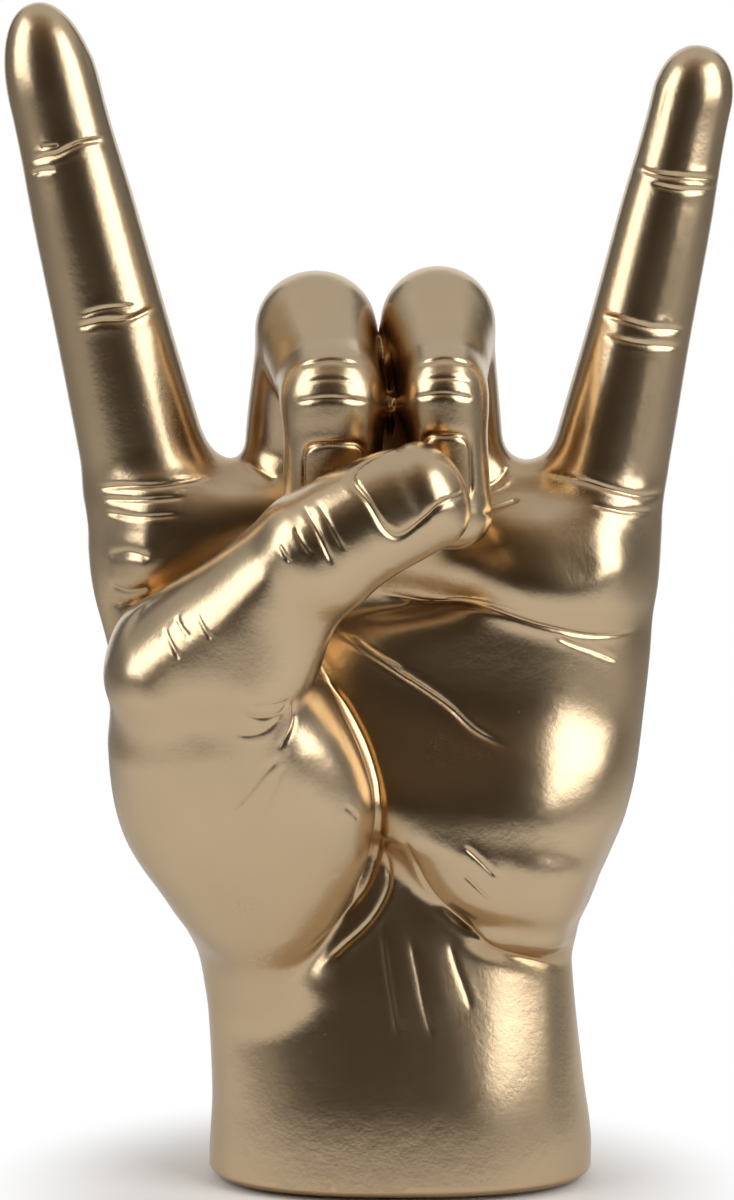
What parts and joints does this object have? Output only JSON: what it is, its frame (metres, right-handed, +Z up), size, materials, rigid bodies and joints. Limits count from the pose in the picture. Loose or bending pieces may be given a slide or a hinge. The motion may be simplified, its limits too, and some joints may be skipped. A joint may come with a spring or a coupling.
{
  "type": "hand sculpture",
  "caption": "Upright cast hand ornament making the horned salute, with the thumb over two folded fingers, standing on its flat cut wrist.",
  "frame": {"origin": "on the ground, under the middle of the hand's outer box", "axes": "+Z up along the wrist, +X from the index finger's side to the little finger's side, +Y from the palm to the back of the hand"},
  "size_m": [0.1276, 0.0702, 0.2107],
  "materials": {
    "gold_paint": "satin",
    "raw_resin": "matte",
    "rubber": "matte",
    "felt": "matte"
  },
  "bodies": {
    "root": {"hand_casting": "gold_paint", "base_cap": "raw_resin", "vent_stopper": "rubber", "felt_pad_back_left": "felt", "felt_pad_back_right": "felt", "felt_pad_front_left": "felt", "felt_pad_front_right": "felt"}
  },
  "joints": []
}
